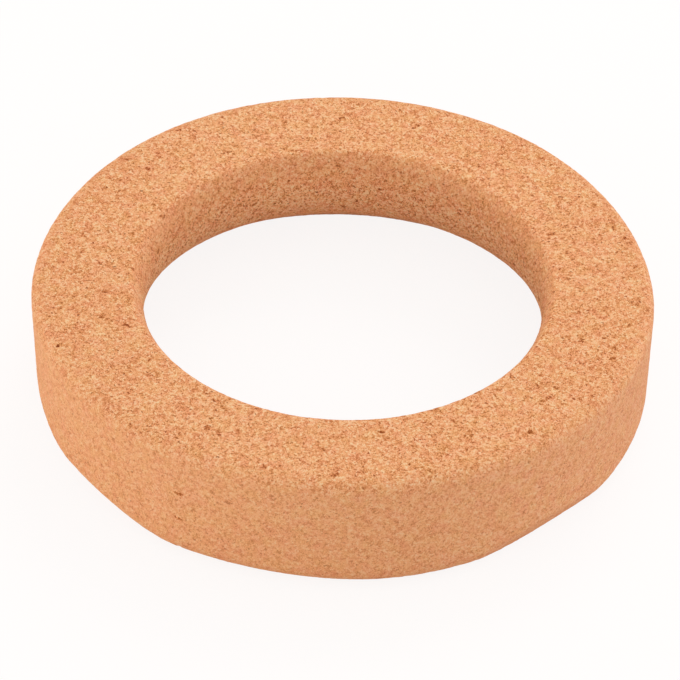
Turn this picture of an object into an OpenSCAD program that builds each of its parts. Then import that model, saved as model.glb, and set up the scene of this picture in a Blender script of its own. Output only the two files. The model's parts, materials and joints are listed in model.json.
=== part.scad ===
// Cork ring: a one-piece stand for round-bottomed flasks, turned from agglomerated cork.
// Millimetres, +Z up. The origin is the centre of the base, on the axis of the hole.
//
// The ring is one section turned round the axis. Its hole is narrowest at a short straight
// throat, and flares both ways from there: up to a small mouth in the top face, and down to
// a wide seat in the base. Each flare is a curve tangent to the throat that runs into a cone.
// Every edge of the section is eased with a true arc, and two shallow flats are worn into the
// lower outer edge.

/* [Ring] */
// Outside diameter of the ring
ring_d = 140; // [136:1:200]
// Height of the ring
ring_h = 30; // [26:1:45]

/* [Throat] */
// Diameter of the throat, the narrowest part of the hole
throat_d = 90; // [60:1:92]
// Height of the straight band at the throat
throat_band = 2; // [1:0.5:4]

/* [Mouth, the flare above the throat] */
// How far the mouth's rim lies outside the throat, before the rim is eased
mouth_flare = 2.6; // [1.5:0.1:2.8]
// Depth of the throat below the top face
mouth_depth = 7; // [7:0.5:10]
// Radius of the curve between the throat and the mouth
mouth_curve_r = 10; // [3:0.5:10]

/* [Seat, the flare below the throat] */
// How far the seat's rim lies outside the throat, before the rim is eased
seat_flare = 16; // [6:0.5:17]
// Radius of the curve between the throat and the seat
seat_curve_r = 16; // [6:1:20]

/* [Edges] */
// Radius of the outer edge at the top
top_edge_r = 3; // [1:0.5:6]
// Radius of the outer edge at the base
base_edge_r = 5.5; // [1:0.5:7]
// Radius of the rims of the mouth and the seat
rim_edge_r = 1.5; // [0.5:0.25:2]

/* [Worn flats on the lower outer edge] */
// Direction of the larger flat, in degrees from +X towards +Y
large_flat_dir = -48; // [-180:1:180]
// Angle by which the larger flat faces below the horizontal
large_flat_tilt = 30; // [20:1:60]
// Depth of the larger flat below the rounded edge
large_flat_depth = 1.8; // [0.2:0.1:2.4]
// Direction of the smaller flat, in degrees from +X towards +Y
small_flat_dir = -142; // [-180:1:180]
// Angle by which the smaller flat faces below the horizontal
small_flat_tilt = 45; // [20:1:60]
// Depth of the smaller flat below the rounded edge
small_flat_depth = 1.2; // [0.2:0.1:2.4]

/* [Hidden] */
$fn = 180;

ring_r = ring_d / 2;
throat_r = throat_d / 2;
seat_depth = ring_h - mouth_depth - throat_band;

// Centre of the arc on the outer edge at the base, as [radius, height]
base_edge_centre = [ring_r - base_edge_r, base_edge_r];

// How far a cutter reaches beyond the face that it cuts
clear = 1;

// Unit vector at an angle to the radius
function unit(angle) = [cos(angle), sin(angle)];

// What an arc removes from an outside corner: the kite between two tangents, less the arc.
// The arc runs from the direction `from` to the direction `to`, seen from its centre.
module corner_cut(centre, r, from, to) {
    reach = r + clear;
    miter = reach / cos((to - from) / 2);
    translate(centre) difference() {
        polygon([[0, 0], reach * unit(from), miter * unit((from + to) / 2), reach * unit(to)]);
        circle(r);
    }
}

// Half of a flare's section, with its face at height 0 and the throat `depth` above it.
// The cone is the tangent from the rim to the curve, and leans from the radius by `lean`.
module flare_section(flare, depth, curve_r) {
    rim = [throat_r + flare, 0];
    curve_centre = [throat_r + curve_r, depth];
    span = curve_centre - rim;
    lean = atan2(span[1], span[0]) + asin(curve_r / norm(span));
    cone_top = rim + sqrt(norm(span) ^ 2 - curve_r ^ 2) * unit(lean);
    difference() {
        polygon([[throat_r, 0], rim, cone_top, [cone_top[0], depth], [throat_r, depth]]);
        translate(curve_centre) circle(curve_r);
    }
    corner_cut(rim + rim_edge_r * [1 / tan(lean / 2), 1], rim_edge_r, lean + 90, 270);
}

// Half of the hole's section: the throat, with the seat below it and the mouth above
module hole_section() {
    translate([0, -clear]) square([throat_r, ring_h + 2 * clear]);
    flare_section(seat_flare, seat_depth, seat_curve_r);
    translate([0, ring_h]) mirror([0, 1]) flare_section(mouth_flare, mouth_depth, mouth_curve_r);
}

// Half of the ring's section
module ring_section() {
    difference() {
        square([ring_r, ring_h]);
        hole_section();
        corner_cut([ring_r - top_edge_r, ring_h - top_edge_r], top_edge_r, 0, 90);
        corner_cut(base_edge_centre, base_edge_r, -90, 0);
    }
}

// A block whose face lies `depth` under the rounded base edge, facing out and down
module worn_flat(dir, tilt, depth) {
    edge_reach = base_edge_centre[0] * cos(tilt) - base_edge_centre[1] * sin(tilt) + base_edge_r;
    rotate([0, 0, dir]) rotate([0, tilt, 0])
        translate([edge_reach - depth, -ring_r, -ring_r]) cube([ring_r, ring_d, ring_d]);
}

module cork_ring() {
    color("#DE9E6E") difference() {
        rotate_extrude() ring_section();
        worn_flat(large_flat_dir, large_flat_tilt, large_flat_depth);
        worn_flat(small_flat_dir, small_flat_tilt, small_flat_depth);
    }
}

cork_ring();
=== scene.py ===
"""A cork ring for round-bottomed flasks, dressed as turned and sanded agglomerated cork.

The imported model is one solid. One closed surface takes its place here: the same section turned
round the same axis, with the granules, pits and worn flats of the real cork cut into it.
The ring's classes hold lengths in millimetres. The meshes, the studio and the camera's place are
in metres, and all fields that hold an angle are in degrees.
"""

from __future__ import annotations

import json
import logging
import math
from dataclasses import dataclass
from enum import Enum
from itertools import product
from typing import NamedTuple

import bpy
import numpy as np
from mathutils import Matrix, Vector


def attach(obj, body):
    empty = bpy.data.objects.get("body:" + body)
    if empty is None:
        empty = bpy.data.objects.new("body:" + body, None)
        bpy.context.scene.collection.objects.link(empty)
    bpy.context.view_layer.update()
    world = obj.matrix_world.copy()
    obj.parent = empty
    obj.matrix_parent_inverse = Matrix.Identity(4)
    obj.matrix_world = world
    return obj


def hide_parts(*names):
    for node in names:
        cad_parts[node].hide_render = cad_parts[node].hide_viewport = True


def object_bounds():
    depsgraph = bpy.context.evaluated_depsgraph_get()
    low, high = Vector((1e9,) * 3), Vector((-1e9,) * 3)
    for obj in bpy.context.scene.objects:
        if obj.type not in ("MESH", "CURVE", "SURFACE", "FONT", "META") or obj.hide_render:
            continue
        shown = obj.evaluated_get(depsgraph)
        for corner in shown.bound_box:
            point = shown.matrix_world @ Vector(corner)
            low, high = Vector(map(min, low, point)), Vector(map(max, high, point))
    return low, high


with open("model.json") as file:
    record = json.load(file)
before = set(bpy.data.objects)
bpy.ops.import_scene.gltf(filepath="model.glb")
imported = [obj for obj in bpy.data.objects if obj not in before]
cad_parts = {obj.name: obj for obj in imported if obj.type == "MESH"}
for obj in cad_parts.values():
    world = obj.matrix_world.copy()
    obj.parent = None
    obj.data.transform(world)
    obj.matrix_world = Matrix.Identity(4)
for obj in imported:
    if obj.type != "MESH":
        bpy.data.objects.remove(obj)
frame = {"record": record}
CAD_LOW, CAD_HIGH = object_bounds()

MM = 0.001
NODE = "cork_ring"
SKIN = "cork_ring_skin"

# Large primes and factors that scramble whole numbers evenly, and the bits that are kept
PRIMES = (73856093, 19349663, 83492791)
SALT_PRIME = 2654435761
SALT_START = 97
SCRAMBLE = ((29, 0xBF58476D1CE4E5B9), (32, 0x94D049BB133111EB))
KEPT_BITS = 24

# A distance at which no seed and no scar counts, in cubes of the lattice or in half axes
FAR = 9.0

logging.basicConfig(level=logging.INFO, format="%(name)s: %(message)s")
log = logging.getLogger("cork ring")


# ---------------------------------------------------------------- directions, objects and nodes


def unit(angle: float) -> np.ndarray:
    """The unit vector at an angle in degrees, turned from the first axis towards the second."""
    return np.array([math.cos(math.radians(angle)), math.sin(math.radians(angle))])


def facing(azimuth: float, elevation: float) -> np.ndarray:
    """Gives the unit vector that points in a direction.

    Args:
        azimuth: Angle from +X towards +Y, in degrees.
        elevation: Angle above the horizontal, in degrees.

    Returns:
        The vector (cos azimuth cos elevation, sin azimuth cos elevation, sin elevation).
    """
    level, rise = unit(elevation)
    return np.array([*(unit(azimuth) * level), rise])


def put_in_scene(name: str, data: bpy.types.ID) -> bpy.types.Object:
    """Puts a new object into the scene.

    Args:
        name: The object's name.
        data: Its mesh, lamp or camera.

    Returns:
        The object, at the origin.
    """
    thing = bpy.data.objects.new(name, data)
    bpy.context.scene.collection.objects.link(thing)
    return thing


def empty_tree(owner: bpy.types.Material | bpy.types.World) -> bpy.types.NodeTree:
    """Turns on the nodes of a material or a world, and clears them.

    Args:
        owner: The material or the world.

    Returns:
        Its node tree, with nothing in it.
    """
    owner.use_nodes = True
    owner.node_tree.nodes.clear()
    return owner.node_tree


def linear(hex_colour: str) -> tuple[float, float, float, float]:
    """Turns an sRGB hex colour into Blender's linear colour.

    Args:
        hex_colour: The colour as "#RRGGBB".

    Returns:
        Linear red, green and blue, with full opacity.
    """
    parts = [int(hex_colour[i : i + 2], 16) / 255 for i in (1, 3, 5)]
    red, green, blue = (c / 12.92 if c <= 0.04045 else ((c + 0.055) / 1.055) ** 2.4 for c in parts)
    return red, green, blue, 1.0


def add(
    tree: bpy.types.NodeTree,
    kind: str,
    inputs: dict[int | str, object] | None = None,
    **settings: object,
) -> bpy.types.Node:
    """Adds one node, with its settings and what feeds its sockets.

    Args:
        tree: The node tree that gets the node.
        kind: The node's type name.
        inputs: For each socket, by name or number, a value or the output socket to link to it.
        **settings: The node's own properties.

    Returns:
        The new node.
    """
    node = tree.nodes.new(kind)
    for name, value in settings.items():
        setattr(node, name, value)
    for name, value in (inputs or {}).items():
        if isinstance(value, bpy.types.NodeSocket):
            tree.links.new(value, node.inputs[name])
        else:
            node.inputs[name].default_value = value
    return node


# ---------------------------------------------------------------- fields in space


def lattice_numbers(cells: np.ndarray, salt: int) -> np.ndarray:
    """Gives each cube of a lattice its own even random number, the same on each run.

    The whole-number corner is multiplied by three large primes, joined with the salt by
    exclusive or, and scrambled by two rounds of shift and multiply.

    Args:
        cells: Corners of the cubes, as whole numbers, with x, y and z last.
        salt: Picks one of many independent sets of numbers.

    Returns:
        One number from 0 to 1 for each cube.
    """
    whole = cells.astype(np.int64).astype(np.uint64)
    mixed = np.bitwise_xor.reduce(whole * np.array(PRIMES, np.uint64), axis=-1)
    mixed ^= np.uint64(salt * SALT_PRIME + SALT_START)
    for shift, factor in SCRAMBLE:
        mixed ^= mixed >> np.uint64(shift)
        mixed *= np.uint64(factor)
    return (mixed >> np.uint64(64 - KEPT_BITS)).astype(float) / 2**KEPT_BITS


class Cells(NamedTuple):
    """Where each point lies among scattered seeds: two distances and the nearest seed's number."""

    nearest: np.ndarray
    second: np.ndarray
    number: np.ndarray


def scattered_cells(points: np.ndarray, size: float, salt: int) -> Cells:
    """Measures points against seeds strewn through space, one in each cube.

    A seed is its cube's corner plus three random numbers, and a fourth is the seed's own. A point
    is measured against the seeds of its own cube and of the 26 round it.

    Args:
        points: Positions in millimetres, with x, y and z last.
        size: Side of the cubes in millimetres, which is about the spacing of the seeds.
        salt: Picks the set of seeds.

    Returns:
        The distances to the nearest and the second nearest seed, in millimetres, and the random
        number of the nearest one.
    """
    place = points / size
    corner = np.floor(place)
    nearest = np.full(points.shape[:-1], FAR)
    second = nearest.copy()
    number = np.zeros_like(nearest)
    for step in product((-1, 0, 1), repeat=3):
        cube = corner + step
        seed = cube + np.stack([lattice_numbers(cube, salt + k) for k in (1, 2, 3)], -1)
        distance = np.linalg.norm(place - seed, axis=-1)
        closer = distance < nearest
        second = np.where(closer, nearest, np.minimum(second, distance))
        number = np.where(closer, lattice_numbers(cube, salt + 4), number)
        nearest = np.minimum(nearest, distance)
    return Cells(nearest * size, second * size, number)


def rolling(points: np.ndarray, size: float, salt: int) -> np.ndarray:
    """Gives a smooth random swell: lattice numbers blended between the corners of each cube.

    The blend along each side of a cube is the smooth step 3 t^2 - 2 t^3.

    Args:
        points: Positions in millimetres, with x, y and z last.
        size: Side of the cubes in millimetres, which is about the length of a swell.
        salt: Picks the set of numbers.

    Returns:
        Heights from -1 to 1.
    """
    place = points / size
    corner = np.floor(place)
    blend = place - corner
    blend = blend * blend * (3 - 2 * blend)
    total = np.zeros(points.shape[:-1])
    for step in product((0, 1), repeat=3):
        weight = np.prod(np.where(step, blend, 1 - blend), axis=-1)
        total += weight * lattice_numbers(corner + step, salt)
    return 2 * total - 1


# ---------------------------------------------------------------- the section


class Rows(NamedTuple):
    """The section's outline as rows of points: radius, height, and the outward normal."""

    radius: np.ndarray
    height: np.ndarray
    out_radius: np.ndarray
    out_height: np.ndarray


@dataclass(frozen=True)
class Bend:
    """One arc of the outline, which bulges away from the cork, with angles in degrees."""

    radius_at: float
    height_at: float
    r: float
    start: float
    end: float

    def point(self, angle: float) -> np.ndarray:
        """The arc's point in a direction from its centre."""
        return np.array([self.radius_at, self.height_at]) + self.r * unit(angle)


@dataclass(frozen=True)
class Section:
    """Half of the ring's section, with the same sizes as the solid."""

    ring_r: float
    ring_h: float
    throat_r: float
    throat_band: float = 2.0
    mouth_flare: float = 2.6
    mouth_depth: float = 7.0
    mouth_curve_r: float = 10.0
    seat_flare: float = 16.0
    seat_curve_r: float = 16.0
    top_edge_r: float = 3.0
    base_edge_r: float = 5.5
    rim_edge_r: float = 1.5

    # Rows on an arc are at most this part of its radius apart.
    arc_spacing: float = 0.3

    def lean(self, flare: float, depth: float, curve_r: float) -> float:
        """Gives the angle between the face and the flare's cone, through the cork, in degrees.

        The cone is the tangent from the flare's rim to its curve, so the angle is the direction
        to the curve's centre plus the half angle at which the curve is seen.

        Args:
            flare: How far the rim lies outside the throat.
            depth: How deep the throat lies under the face.
            curve_r: Radius of the curve.

        Returns:
            The angle in degrees, over 90.
        """
        across = curve_r - flare
        reach = math.hypot(across, depth)
        return math.degrees(math.atan2(depth, across) + math.asin(curve_r / reach))

    def bends(self) -> list[Bend]:
        """Lists the arcs of the outline, from the base outwards, up, and back down the hole.

        Returns:
            The arcs, each with its angles in the order in which the outline follows it.
        """
        seat_depth = self.ring_h - self.mouth_depth - self.throat_band
        mouth = self.lean(self.mouth_flare, self.mouth_depth, self.mouth_curve_r)
        seat = self.lean(self.seat_flare, seat_depth, self.seat_curve_r)
        rim_r = self.rim_edge_r
        mouth_rim = self.throat_r + self.mouth_flare + rim_r / math.tan(math.radians(mouth / 2))
        seat_rim = self.throat_r + self.seat_flare + rim_r / math.tan(math.radians(seat / 2))
        top, base = self.top_edge_r, self.base_edge_r
        return [
            Bend(self.ring_r - base, base, base, -90, 0),
            Bend(self.ring_r - top, self.ring_h - top, top, 0, 90),
            Bend(mouth_rim, self.ring_h - rim_r, rim_r, 90, 270 - mouth),
            Bend(
                self.throat_r + self.mouth_curve_r,
                self.ring_h - self.mouth_depth,
                self.mouth_curve_r,
                270 - mouth,
                180,
            ),
            Bend(self.throat_r + self.seat_curve_r, seat_depth, self.seat_curve_r, 180, 90 + seat),
            Bend(seat_rim, rim_r, rim_r, 90 + seat, 270),
        ]

    def rows(self, spacing: float) -> Rows:
        """Walks round the outline and sets down rows at an even spacing.

        Each arc is followed by the straight line that is tangent to it and to the next arc, so a
        line keeps the normal of the arc's end. Tight arcs get closer rows.

        Args:
            spacing: Greatest distance between two rows.

        Returns:
            The rows, once round the closed outline.
        """
        arcs = self.bends()
        points, normals = [], []
        for arc, after in zip(arcs, arcs[1:] + arcs[:1]):
            length = arc.r * math.radians(arc.end - arc.start)
            count = math.ceil(length / min(spacing, self.arc_spacing * arc.r))
            angles = np.radians(np.linspace(arc.start, arc.end, count, endpoint=False))
            out = np.stack([np.cos(angles), np.sin(angles)], -1)
            points.append(np.array([arc.radius_at, arc.height_at]) + arc.r * out)
            normals.append(out)

            begin, finish = arc.point(arc.end), after.point(after.start)
            count = max(1, math.ceil(np.linalg.norm(finish - begin) / spacing))
            along = np.linspace(0, 1, count, endpoint=False)[:, None]
            points.append(begin + along * (finish - begin))
            normals.append(np.broadcast_to(unit(arc.end), (count, 2)))
        at, out = np.concatenate(points), np.concatenate(normals)
        return Rows(at[:, 0], at[:, 1], out[:, 0], out[:, 1])


# ---------------------------------------------------------------- wear and relief


@dataclass(frozen=True)
class WornFlat:
    """A shallow flat that wear has left on the lower outer edge, with its border rubbed soft."""

    direction: float
    tilt: float
    depth: float
    softness: float = 0.3
    # How far under the flat the ramp still acts, in softnesses
    reach: float = 6.0

    def rub(self, points: np.ndarray, section: Section) -> np.ndarray:
        """Presses what stands over the flat back to it.

        A point's height over the flat, s, becomes the soft ramp (s + sqrt(s^2 + softness^2)) / 2,
        and the point moves in by that, less the little that the ramp gives far from the flat.

        Args:
            points: Surface points in millimetres.
            section: The ring's section, which gives the rounded edge's place.

        Returns:
            The worn points.
        """
        out = facing(self.direction, -self.tilt)
        edge = section.base_edge_r
        face = unit(-self.tilt) @ [section.ring_r - edge, edge] + edge - self.depth
        over = points @ out - face
        ramp = (over + np.sqrt(over**2 + self.softness**2)) / 2
        near = np.clip(1 + over / (self.reach * self.softness), 0, 1)
        return points - (ramp * near)[..., None] * out


@dataclass(frozen=True)
class Swell:
    """A stretch where the ring is a little out of true, with its shifts in millimetres."""

    direction: float
    spread: float
    at_base: float
    at_top: float

    def shift(self, points: np.ndarray, section: Section) -> np.ndarray:
        """Gives how far each point stands out or in.

        The shift goes evenly from the base to the top and from the throat to the wall, and fades
        to both sides as the bell curve exp(-(angle / spread)^2).

        Args:
            points: Surface points in millimetres.
            section: The ring's section, which gives its height and radii.

        Returns:
            Shifts away from the axis, in millimetres.
        """
        turn = np.degrees(np.arctan2(points[..., 1], points[..., 0])) - self.direction
        aside = (turn + 180) % 360 - 180
        bell = np.exp(-((aside / self.spread) ** 2))
        radius = np.hypot(points[..., 0], points[..., 1])
        outer = np.clip((radius - section.throat_r) / (section.ring_r - section.throat_r), 0, 1)
        rise = points[..., 2] / section.ring_h
        return bell * outer * (self.at_base + (self.at_top - self.at_base) * rise)


@dataclass(frozen=True)
class Granules:
    """The pressed granules' relief: each stands a little high or low, with a crease round it."""

    size: float
    height: float
    crease_width: float
    crease_depth: float
    salt: int

    # The part of the height by which a granule's rim lies under its middle
    doming: float = 0.35

    def depth(self, points: np.ndarray) -> np.ndarray:
        """Gives how far the surface lies below the highest granule.

        Args:
            points: Surface points in millimetres.

        Returns:
            Depths in millimetres: the granule's own share of the height, more towards its rim,
            and the crease where the two nearest seeds are almost equally far.
        """
        cells = scattered_cells(points, self.size, self.salt)
        dome = np.clip(cells.nearest / self.size, 0, 1) ** 2
        crease = np.clip(1 - (cells.second - cells.nearest) / self.crease_width, 0, 1)
        level = (1 - self.doming) * cells.number + self.doming * dome
        return self.height * level + self.crease_depth * crease**2


@dataclass(frozen=True)
class Pits:
    """Small holes with ragged rims, where a granule or a bit of bark has dropped out."""

    spacing: float
    share: float
    smallest: float
    largest: float
    depth: float
    salt: int
    # How far the rims stray, over what length, and the first of the three salts for it
    stray: float = 0.3
    stray_length: float = 0.9
    stray_salt: int = 60

    def bowls(self, points: np.ndarray) -> np.ndarray:
        """Gives how deep each point lies in a pit, from 0 outside to 1 at the bottom.

        Args:
            points: Surface points in millimetres.

        Returns:
            One less the square of the distance over the pit's radius, never under 0.
        """
        aside = [rolling(points, self.stray_length, self.stray_salt + k) for k in range(3)]
        cells = scattered_cells(points + self.stray * np.stack(aside, -1), self.spacing, self.salt)
        radius = self.smallest + (self.largest - self.smallest) * (cells.number / self.share)
        bowl = np.clip(1 - (cells.nearest / radius) ** 2, 0, 1)
        return np.where(cells.number < self.share, bowl, 0)


@dataclass(frozen=True)
class Waves:
    """Slow waves in the surface, left by the sanding."""

    length: float
    height: float
    salt: int

    def depth(self, points: np.ndarray) -> np.ndarray:
        """Gives how far the surface lies below the waves' tops, in millimetres."""
        return self.height / 2 * (1 + rolling(points, self.length, self.salt))


@dataclass(frozen=True)
class ToolMarks:
    """What the turning tool did to the grain: smeared on the outer wall, and torn in the hole.

    The radii and heights are where each mark starts, and the fades are the lengths over which it
    comes in.
    """

    smear: float = 0.46
    wall_radius: float = 66.0
    wall_radius_fade: float = 1.0
    # This is over the top face, so the top's rounded edge already has some smear.
    wall_height: float = 31.0
    wall_height_fade: float = 3.5
    tear: float = 0.36
    hole_radius: float = 48.0
    hole_radius_fade: float = 1.0
    hole_height: float = 24.0
    hole_height_fade: float = 4.0
    # Above its starting height the tear turns into a smear, of this part of its strength at most.
    mouth_smear: float = 0.6

    def grain(self, rows: Rows) -> np.ndarray:
        """Gives how plainly the granules show along the section.

        The smear takes away from 1 and the tear adds to it. Each grows evenly with the radius and
        with the height under its start.

        Args:
            rows: The section's rows.

        Returns:
            One number for each row, where 1 is a sanded face.
        """
        outer = np.clip((rows.radius - self.wall_radius) / self.wall_radius_fade, 0, 1)
        inner = np.clip((self.hole_radius - rows.radius) / self.hole_radius_fade, 0, 1)
        below_top = np.clip((self.wall_height - rows.height) / self.wall_height_fade, 0, 1)
        under_mouth = (self.hole_height - rows.height) / self.hole_height_fade
        in_seat = np.clip(under_mouth, -self.mouth_smear, 1)
        return 1 - self.smear * outer * below_top + self.tear * inner * in_seat


# ---------------------------------------------------------------- the finish


class Carried(Enum):
    """Names of the numbers that the skin carries at each point for its finish."""

    PIT = "pit"
    GRAIN = "grain"


class Fade(NamedTuple):
    """An even change from one amount to another, between two values of what is measured."""

    start: float
    end: float
    at_start: float
    at_end: float

    def of(self, measure: bpy.types.NodeSocket) -> dict[int, object]:
        """The inputs of a Map Range node that makes this change with the measure."""
        return {0: measure, **dict(enumerate(self, start=1))}


def lowered(
    tree: bpy.types.NodeTree, tint: bpy.types.NodeSocket, measure: bpy.types.NodeSocket, fade: Fade
) -> bpy.types.NodeSocket:
    """Lowers a tint by an amount that depends on a measure.

    Args:
        tree: The material's node tree.
        tint: The tint so far.
        measure: What the amount depends on.
        fade: The amounts.

    Returns:
        The lowered tint.
    """
    amount = add(tree, "ShaderNodeMapRange", fade.of(measure)).outputs[0]
    return add(tree, "ShaderNodeMath", {0: tint, 1: amount}, operation="SUBTRACT").outputs[0]


@dataclass(frozen=True)
class Scar:
    """One mark that can be told from the rest: a torn granule, or a short crack in the wall.

    It is an ellipsoid, with its centre and half axes in millimetres and its turns in degrees.
    """

    at: tuple[float, float, float]
    half: tuple[float, float, float]
    turned: tuple[float, float, float] = (0.0, 0.0, 0.0)


@dataclass(frozen=True)
class AgglomeratedCork:
    """Fine agglomerated cork: ground granules pressed with a clear binder, turned and sanded.

    Sanding cuts through the granules, so each shows as a small flat chip with its own tint, from
    cream to brown, and the surface is matt with bits of dark bark, thin gaps and torn granules.
    """

    name: str = "agglomerated_cork_turned"
    # Tints of the cut granules, from the darkest to the palest
    tints: tuple[tuple[float, str], ...] = (
        (0.00, "#7C2C06"),
        (0.20, "#A0501E"),
        (0.38, "#CA7943"),
        (0.56, "#EA9B63"),
        (0.74, "#FEB37D"),
        (1.00, "#FFD6A6"),
    )
    # The tint of cork whose granules the tool has smeared together
    smeared: str = "#E3A06F"
    granule_mm: float = 0.45
    chip_mm: float = 1.1
    # Grit is finer than this, and is drawn coarser so that it shows from a step away.
    grit_mm: float = 0.27
    # How far the granules' outlines stray, and over what length
    stray_mm: float = 0.7
    stray_length_mm: float = 0.5
    # Patches of redder and yellower cork: their width, and the hues' two ends
    patch_mm: float = 2.9
    hues: Fade = Fade(start=0.3, end=0.7, at_start=0.495, at_end=0.505)

    # A tint starts here, and gets these shares of the random numbers from 0 to 1.
    lowest: float = -0.145
    granule_share: float = 0.44
    chip_share: float = 0.16
    grit_share: float = 1.16
    # Torn granules differ more, to both sides of this tint.
    middle: float = 0.55

    # What is taken off the tint, by the distance from a granule's rim, by a random number for
    # each granule or chip, by the depth in a pit, and by the distance from a scar's centre
    gap: Fade = Fade(start=0.0, end=0.16, at_start=0.14, at_end=0.0)
    small_bark: Fade = Fade(start=0.95, end=0.99, at_start=0.0, at_end=0.26)
    large_bark: Fade = Fade(start=0.985, end=0.995, at_start=0.0, at_end=0.25)
    cream: Fade = Fade(start=0.95, end=0.99, at_start=0.0, at_end=-0.22)
    # Painted shade in the pits, deepest at their bottom
    pit_shade: Fade = Fade(start=0.1, end=0.8, at_start=0.0, at_end=0.16)
    # The scars' darker colour, with painted shade in the tears and cracks
    scar_dark_and_shade: Fade = Fade(start=1.15, end=0.55, at_start=0.0, at_end=0.34)
    # A scar cuts through the smear.
    unsmeared: Fade = Fade(start=0.6, end=1.1, at_start=0.0, at_end=1.0)

    scars: tuple[Scar, ...] = (
        Scar(at=(41.5, -50.0, 30.0), half=(0.8, 0.7, 1.0)),
        Scar(at=(-48.0, -18.0, 30.0), half=(1.5, 0.6, 1.0), turned=(0, 0, -35)),
        Scar(at=(-1.5, 60.0, 30.0), half=(1.0, 0.6, 1.0)),
        Scar(at=(-39.5, 53.5, 30.0), half=(0.9, 0.5, 1.0)),
        Scar(at=(-0.5, -66.0, 30.0), half=(1.0, 0.7, 1.0), turned=(0, 0, 30)),
        Scar(at=(-46.0, 38.5, 30.0), half=(0.7, 0.8, 1.0)),
        Scar(at=(-53.5, -15.0, 30.0), half=(0.9, 1.0, 1.0)),
        Scar(at=(47.0, 19.0, 30.0), half=(1.1, 0.6, 1.0), turned=(0, 0, 10)),
        Scar(at=(57.0, 30.0, 30.0), half=(0.8, 0.9, 1.0)),
        Scar(at=(-62.5, -25.5, 30.0), half=(0.6, 1.0, 1.0), turned=(0, 0, -20)),
        Scar(at=(-26.0, -53.0, 30.0), half=(0.7, 1.4, 1.0), turned=(0, 0, 10)),
        Scar(at=(60.0, -24.5, 30.0), half=(1.1, 0.5, 1.0), turned=(0, 0, 30)),
        Scar(at=(45.0, 47.0, 30.0), half=(0.8, 0.5, 1.0)),
        Scar(at=(-48.5, 14.5, 30.0), half=(0.8, 0.6, 1.0), turned=(0, 0, -20)),
        Scar(at=(50.5, 3.0, 30.0), half=(0.6, 0.6, 1.0)),
        Scar(at=(64.0, 18.0, 30.0), half=(0.8, 0.7, 1.0), turned=(0, 0, -30)),
        Scar(at=(21.5, -44.0, 29.5), half=(0.8, 0.8, 1.0)),
        Scar(at=(9.5, -51.5, 30.0), half=(0.8, 0.7, 1.0), turned=(0, 0, 20)),
        Scar(at=(-52.5, 34.0, 30.0), half=(0.8, 0.6, 1.0)),
        Scar(at=(-34.5, -61.0, 18.7), half=(1.6, 1.0, 0.4), turned=(0, 0, -29)),
        Scar(at=(-34.5, -61.0, 11.5), half=(1.2, 1.0, 0.45), turned=(0, 10, -29)),
    )
    roughness: float = 0.88
    ior: float = 1.45
    # The open grain traps most of the shine.
    shine: float = 0.25
    # Cut granules are a few hundredths of a millimetre high or low.
    relief_mm: float = 0.1
    relief_strength: float = 0.35
    relief_share: float = 0.5

    def from_scars(
        self, tree: bpy.types.NodeTree, place: bpy.types.NodeSocket
    ) -> bpy.types.NodeSocket:
        """Measures how far each point lies from the nearest scar's centre.

        Each scar's ellipsoid is carried back to a ball of radius 1, and the shortest of the
        distances from the balls' centres is kept.

        Args:
            tree: The material's node tree.
            place: Positions in millimetres, with ragged edges.

        Returns:
            The shortest distance, which is under 1 inside a scar.
        """
        nearest = add(tree, "ShaderNodeValue").outputs[0]
        nearest.default_value = FAR
        for scar in self.scars:
            turned = tuple(math.radians(angle) for angle in scar.turned)
            ball = add(
                tree,
                "ShaderNodeMapping",
                {"Vector": place, "Location": scar.at, "Rotation": turned, "Scale": scar.half},
                vector_type="TEXTURE",
            )
            away = add(tree, "ShaderNodeVectorMath", {0: ball.outputs[0]}, operation="LENGTH")
            pair = {0: nearest, 1: away.outputs["Value"]}
            nearest = add(tree, "ShaderNodeMath", pair, operation="MINIMUM").outputs[0]
        return nearest

    def build(self) -> bpy.types.Material:
        """Makes the material.

        Returns:
            The finished cork, in Object coordinates scaled to millimetres.
        """
        material = bpy.data.materials.new(self.name)
        tree = empty_tree(material)

        place = add(tree, "ShaderNodeTexCoord").outputs["Object"]
        mm = add(tree, "ShaderNodeMapping", {"Vector": place, "Scale": (1 / MM,) * 3}).outputs[0]
        pit = add(tree, "ShaderNodeAttribute", attribute_name=Carried.PIT.value).outputs["Fac"]
        grain = add(tree, "ShaderNodeAttribute", attribute_name=Carried.GRAIN.value).outputs["Fac"]

        # Granules have ragged outlines, so the cells are read through a small random shift. It
        # comes from a noise whose colours lie round one half.
        noise = {"Vector": mm, "Scale": 1 / self.stray_length_mm, "Detail": 1.0}
        shift = {0: add(tree, "ShaderNodeTexNoise", noise).outputs["Color"], 1: (0.5,) * 3}
        centred = add(tree, "ShaderNodeVectorMath", shift, operation="SUBTRACT").outputs[0]
        moved = {0: centred, 1: (self.stray_mm,) * 3, 2: mm}
        ragged = add(tree, "ShaderNodeVectorMath", moved, operation="MULTIPLY_ADD").outputs[0]

        cells = {"Vector": ragged, "Scale": 1 / self.granule_mm}
        granule = add(tree, "ShaderNodeTexVoronoi", cells)
        rim = add(tree, "ShaderNodeTexVoronoi", cells, feature="DISTANCE_TO_EDGE")
        chip = add(tree, "ShaderNodeTexVoronoi", {"Vector": ragged, "Scale": 1 / self.chip_mm})
        noise = {"Vector": mm, "Scale": 1 / self.grit_mm, "Detail": 1.0}
        grit = add(tree, "ShaderNodeTexNoise", noise)
        granule_number = add(tree, "ShaderNodeSeparateColor", {0: granule.outputs["Color"]}).outputs
        chip_number = add(tree, "ShaderNodeSeparateColor", {0: chip.outputs["Color"]}).outputs
        scar = self.from_scars(tree, ragged)

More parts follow.
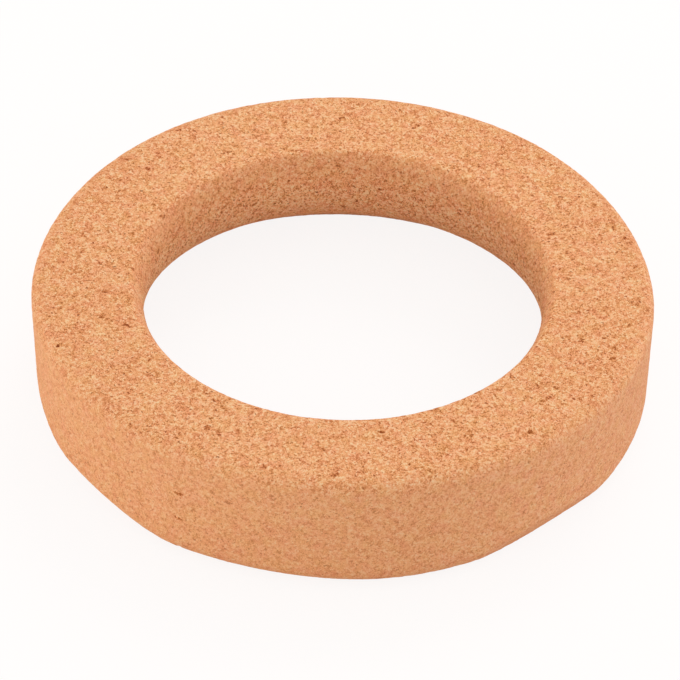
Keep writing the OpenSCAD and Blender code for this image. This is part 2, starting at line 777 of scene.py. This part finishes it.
        # The tint is the granule's own, with a share from the larger chip and from the grit.
        tint = self.lowest
        for number, share in (
            (granule_number["Red"], self.granule_share),
            (chip_number["Red"], self.chip_share),
            (grit.outputs["Fac"], self.grit_share),
        ):
            raised = {0: number, 1: share, 2: tint}
            tint = add(tree, "ShaderNodeMath", raised, operation="MULTIPLY_ADD").outputs[0]

        # It is darker in the thin gap round each granule, a few whole granules and a few larger
        # chips are dark bark, and a few granules are cream.
        tint = lowered(tree, tint, rim.outputs["Distance"], self.gap)
        tint = lowered(tree, tint, granule_number["Green"], self.small_bark)
        tint = lowered(tree, tint, chip_number["Green"], self.large_bark)
        tint = lowered(tree, tint, granule_number["Blue"], self.cream)

        # Granules differ more where the tool tore them.
        coarse = add(tree, "ShaderNodeMath", {0: grain, 1: 1.0}, operation="MAXIMUM").outputs[0]
        offset = {0: tint, 1: self.middle}
        apart = add(tree, "ShaderNodeMath", offset, operation="SUBTRACT").outputs[0]
        stretched = {0: apart, 1: coarse, 2: self.middle}
        tint = add(tree, "ShaderNodeMath", stretched, operation="MULTIPLY_ADD").outputs[0]

        # The tint is lower towards the bottom of each pit in the mesh, which is painted shade in
        # the pit. It is lower in the scars too: the torn cork's darker colour, with painted shade
        # in the tears and cracks, which have no depth in the mesh.
        tint = lowered(tree, tint, pit, self.pit_shade)
        tint = lowered(tree, tint, scar, self.scar_dark_and_shade)

        ramp = add(tree, "ShaderNodeValToRGB", {0: tint})
        stops = ramp.color_ramp.elements
        while len(stops) < len(self.tints):
            stops.new(0.5)
        for stop, (at, colour) in zip(stops, self.tints):
            stop.position, stop.color = at, linear(colour)

        # They differ less where the tool smeared them, on the outer wall and at the mouth.
        whole = add(tree, "ShaderNodeMapRange", self.unsmeared.of(scar)).outputs[0]
        lost = {0: whole, 1: grain}
        smear = add(tree, "ShaderNodeMath", lost, operation="SUBTRACT", use_clamp=True).outputs[0]
        colours = {0: smear, 6: ramp.outputs["Color"], 7: linear(self.smeared)}
        colour = add(tree, "ShaderNodeMix", colours, data_type="RGBA").outputs[2]

        # Patches a few millimetres wide lean to red or to yellow.
        noise = {"Vector": mm, "Scale": 1 / self.patch_mm, "Detail": 2.0}
        patch = add(tree, "ShaderNodeTexNoise", noise).outputs["Fac"]
        hue = add(tree, "ShaderNodeMapRange", self.hues.of(patch)).outputs[0]
        colour = add(tree, "ShaderNodeHueSaturation", {"Hue": hue, "Color": colour}).outputs[0]

        level = {0: granule_number["Blue"], 1: self.relief_share, 2: tint}
        rise = add(tree, "ShaderNodeMath", level, operation="MULTIPLY_ADD").outputs[0]
        relief = {"Height": rise, "Strength": self.relief_strength, "Distance": self.relief_mm * MM}
        bump = add(tree, "ShaderNodeBump", relief)

        shader = add(
            tree,
            "ShaderNodeBsdfPrincipled",
            {
                "Base Color": colour,
                "Roughness": self.roughness,
                "IOR": self.ior,
                "Specular IOR Level": self.shine,
                "Normal": bump.outputs["Normal"],
            },
        )
        add(tree, "ShaderNodeOutputMaterial", {"Surface": shader.outputs[0]})
        return material


# ---------------------------------------------------------------- the ring


@dataclass(frozen=True)
class CorkRing:
    """The ring: its section turned round the axis, worn, pitted and dressed."""

    section: Section
    flats: tuple[WornFlat, ...] = (
        WornFlat(direction=-48, tilt=30, depth=1.8),
        WornFlat(direction=-142, tilt=45, depth=1.2),
    )
    swells: tuple[Swell, ...] = (
        Swell(direction=190, spread=18, at_base=-0.7, at_top=0.6),
        Swell(direction=-20, spread=28, at_base=0.0, at_top=0.6),
        Swell(direction=-50, spread=9, at_base=0.45, at_top=0.0),
        Swell(direction=-78, spread=10, at_base=0.3, at_top=0.1),
        Swell(direction=25, spread=22, at_base=0.0, at_top=-0.5),
        Swell(direction=-103, spread=12, at_base=-0.4, at_top=0.3),
        Swell(direction=-122, spread=4.5, at_base=0.5, at_top=0.0),
        Swell(direction=145, spread=22, at_base=0.0, at_top=-0.25),
    )
    granules: Granules = Granules(
        size=1.45, height=0.09, crease_width=0.35, crease_depth=0.04, salt=11
    )
    pits: Pits = Pits(spacing=4.2, share=0.5, smallest=0.35, largest=0.8, depth=0.3, salt=40)
    waves: tuple[Waves, ...] = (
        Waves(length=14, height=0.06, salt=5),
        Waves(length=4, height=0.04, salt=6),
    )
    tool_marks: ToolMarks = ToolMarks()
    row_spacing: float = 0.66
    columns: int = 640
    finish: AgglomeratedCork = AgglomeratedCork()

    def surface(self) -> tuple[np.ndarray, np.ndarray, np.ndarray]:
        """Works out the surface as a grid of rows round the section by columns round the axis.

        A smooth point is (radius cos turn, radius sin turn, height). It is rubbed down to the
        flats, sinks along the section's normal by the waves, the granules and the pits, and
        moves away from the axis by the swells.

        Returns:
            The points in millimetres, the pit depth from 0 to 1, and how plainly the granules
            show, where 1 is a sanded face.
        """
        rows = self.section.rows(self.row_spacing)
        turn = np.linspace(0, 2 * math.pi, self.columns, endpoint=False)
        across = np.stack([np.cos(turn), np.sin(turn), 0 * turn], -1)
        up = np.array([0.0, 0.0, 1.0])
        smooth = rows.radius[:, None, None] * across + rows.height[:, None, None] * up
        out = rows.out_radius[:, None, None] * across + rows.out_height[:, None, None] * up

        for flat in self.flats:
            smooth = flat.rub(smooth, self.section)
        pit = self.pits.bowls(smooth)
        sink = sum(waves.depth(smooth) for waves in self.waves)
        sink = sink + self.granules.depth(smooth) + self.pits.depth * pit
        shift = sum(swell.shift(smooth, self.section) for swell in self.swells)
        grain = np.broadcast_to(self.tool_marks.grain(rows)[:, None], pit.shape)
        return smooth - sink[..., None] * out + shift[..., None] * across, pit, grain

    def build(self) -> bpy.types.Object:
        """Makes the ring's mesh and dresses it.

        The grid closes on itself both ways, so the surface has no seam and no pole.

        Returns:
            The ring, in metres, standing for the solid.
        """
        points, pit, grain = self.surface()
        rows, columns = points.shape[:2]
        index = np.arange(rows * columns).reshape(rows, columns)
        right = np.roll(index, -1, axis=1)
        quads = np.stack([index, right, np.roll(right, -1, axis=0), np.roll(index, -1, axis=0)], -1)

        mesh = bpy.data.meshes.new(SKIN)
        mesh.from_pydata(points.reshape(-1, 3) * MM, [], quads.reshape(-1, 4))
        for name, values in ((Carried.PIT, pit), (Carried.GRAIN, grain)):
            layer = mesh.attributes.new(name.value, "FLOAT", "POINT")
            layer.data.foreach_set("value", values.ravel().astype(np.float32))
        mesh.shade_smooth()
        mesh.materials.append(self.finish.build())

        ring = put_in_scene(SKIN, mesh)
        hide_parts(NODE)
        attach(ring, "root")
        log.info("%s: %d rows by %d columns", ring.name, rows, columns)
        return ring


# ---------------------------------------------------------------- the studio


@dataclass(frozen=True)
class SoftLamp:
    """A large soft lamp that faces the ring, with its distance and its sides in metres."""

    name: str
    azimuth: float
    elevation: float
    watts: float
    distance: float = 1.3
    width: float = 0.8
    height: float = 0.8
    colour: str = "#FFFFFF"

    def build(self) -> None:
        """Hangs the lamp and turns it to the ring."""
        lamp = bpy.data.lights.new(self.name, "AREA")
        lamp.shape, lamp.size, lamp.size_y = "ELLIPSE", self.width, self.height
        lamp.energy, lamp.color = self.watts, linear(self.colour)[:3]
        away = Vector(facing(self.azimuth, self.elevation))
        holder = put_in_scene(self.name, lamp)
        holder.location = away * self.distance
        holder.rotation_euler = away.to_track_quat("Z", "Y").to_euler()


@dataclass(frozen=True)
class WhitePaper:
    """Matt white paper, which looks white and keeps the ring's shadow.

    The ring gets the light that real paper gives back. What is seen of the paper is mostly an even
    glow, with a little of the light that falls on it, so it is white where no shadow lies. From
    below it is clear, and lets a share of the light through to the ring's base.
    """

    name: str = "white_paper_matt"
    paper: str = "#E8E6E5"
    glow: str = "#FFFDFC"
    glow_strength: float = 0.9
    shaded: str = "#626161"
    share_from_below: float = 0.5

    def build(self) -> bpy.types.Material:
        """Makes the material.

        Returns:
            The finished paper.
        """
        material = bpy.data.materials.new(self.name)
        tree = empty_tree(material)
        paper = add(tree, "ShaderNodeBsdfDiffuse", {"Color": linear(self.paper)}).outputs[0]
        shaded = add(tree, "ShaderNodeBsdfDiffuse", {"Color": linear(self.shaded)}).outputs[0]
        light = {"Color": linear(self.glow), "Strength": self.glow_strength}
        glow = add(tree, "ShaderNodeEmission", light).outputs[0]
        white = add(tree, "ShaderNodeAddShader", {0: shaded, 1: glow}).outputs[0]

        # Rays that look at the paper see the white, and all others see the plain paper.
        ray = add(tree, "ShaderNodeLightPath").outputs
        looks = ray["Is Camera Ray"]
        for kind in ("Is Glossy Ray", "Is Transmission Ray"):
            either = {0: looks, 1: ray[kind]}
            looks = add(tree, "ShaderNodeMath", either, operation="MAXIMUM").outputs[0]
        above = add(tree, "ShaderNodeMixShader", {0: looks, 1: paper, 2: white}).outputs[0]

        # A ray that has come up through the paper finds it partly clear from above as well.
        back = add(tree, "ShaderNodeNewGeometry").outputs["Backfacing"]
        risen = {0: ray["Transparent Depth"], 1: self.share_from_below}
        share = add(tree, "ShaderNodeMath", risen, operation="MULTIPLY").outputs[0]
        either = {0: back, 1: share}
        through = add(tree, "ShaderNodeMath", either, operation="MAXIMUM").outputs[0]
        clear = add(tree, "ShaderNodeBsdfTransparent").outputs[0]
        both = add(tree, "ShaderNodeMixShader", {0: through, 1: above, 2: clear}).outputs[0]
        add(tree, "ShaderNodeOutputMaterial", {"Surface": both})
        return material


@dataclass(frozen=True)
class Studio:
    """A plain white floor under even soft light."""

    # Half the side of the floor, in metres
    floor_half: float = 8.0
    paper: WhitePaper = WhitePaper()
    # The strength and the colour of the even light, and the colour behind the floor
    daylight: float = 0.71
    sky: str = "#FFFDFB"
    backdrop: str = "#FFFCFB"
    # Three round lamps, and a low strip at each end, which lights the walls more than the top
    lamps: tuple[SoftLamp, ...] = (
        SoftLamp("back_lamp", azimuth=70, elevation=45, watts=3.7),
        SoftLamp("high_lamp", azimuth=0, elevation=45, watts=0.8),
        SoftLamp("front_lamp", azimuth=270, elevation=22, watts=0.85),
        SoftLamp(
            name="left_lamp",
            azimuth=195,
            elevation=2.6,
            watts=3.85,
            distance=1.2,
            width=0.9,
            height=0.1,
        ),
        SoftLamp(
            name="right_lamp",
            azimuth=0,
            elevation=2.6,
            watts=2.9,
            distance=1.2,
            width=0.9,
            height=0.1,
            colour="#D0D8FF",
        ),
    )

    def floor(self) -> None:
        """Lays the floor."""
        mesh = bpy.data.meshes.new("floor")
        low, high = -self.floor_half, self.floor_half
        corners = [(low, low, 0), (high, low, 0), (high, high, 0), (low, high, 0)]
        mesh.from_pydata(corners, [], [(0, 1, 2, 3)])
        mesh.materials.append(self.paper.build())
        put_in_scene("floor", mesh)

    def light(self) -> None:
        """Sets the even daylight and hangs the lamps."""
        world = bpy.data.worlds.new("studio")
        tree = empty_tree(world)
        ray = add(tree, "ShaderNodeLightPath").outputs["Is Camera Ray"]
        light = {"Color": linear(self.sky), "Strength": self.daylight}
        soft = add(tree, "ShaderNodeBackground", light).outputs[0]
        white = add(tree, "ShaderNodeBackground", {"Color": linear(self.backdrop)}).outputs[0]
        mix = add(tree, "ShaderNodeMixShader", {0: ray, 1: soft, 2: white}).outputs[0]
        add(tree, "ShaderNodeOutputWorld", {"Surface": mix})
        bpy.context.scene.world = world
        for lamp in self.lamps:
            lamp.build()

    def build(self) -> None:
        """Makes the floor and the light."""
        self.floor()
        self.light()
        bpy.context.scene.view_settings.view_transform = "Standard"
        log.info("studio: a floor, daylight and %d lamps", len(self.lamps))


@dataclass(frozen=True)
class Viewpoint:
    """The camera: a long lens that looks down on the front of the ring.

    The distance from the centre of the base is in metres, and the lens and its sensor are in
    millimetres.
    """

    elevation: float = 40.62
    distance: float = 1.099
    lens: float = 253.6
    sensor: float = 36.0
    # The camera turns up, and a little to the left, from the centre of the base.
    turn_up: float = 0.489
    turn_left: float = 0.021
    roll: float = 1.70

    def build(self) -> None:
        """Places the camera and makes it the scene's own."""
        data = bpy.data.cameras.new("camera")
        data.lens, data.sensor_width = self.lens, self.sensor
        camera = put_in_scene("camera", data)
        rise = math.radians(self.elevation)
        camera.location = Vector((0, -math.cos(rise), math.sin(rise))) * self.distance
        aim = Matrix.Rotation(math.radians(90 - self.elevation), 4, "X")
        own = (
            Matrix.Rotation(math.radians(self.turn_up), 4, "X")
            @ Matrix.Rotation(math.radians(self.turn_left), 4, "Y")
            @ Matrix.Rotation(math.radians(self.roll), 4, "Z")
        )
        camera.rotation_euler = (aim @ own).to_euler()
        bpy.context.scene.camera = camera


def main() -> None:
    """Builds the ring and the studio round it."""
    throat = next(m for m in frame["record"]["mounts"] if m["name"] == "throat")
    ring_r, ring_h = CAD_HIGH.x / MM, CAD_HIGH.z / MM
    CorkRing(Section(ring_r, ring_h, throat_r=throat["dims"]["r_mm"])).build()
    Studio().build()
    Viewpoint().build()


if __name__ == "__main__":
    main()
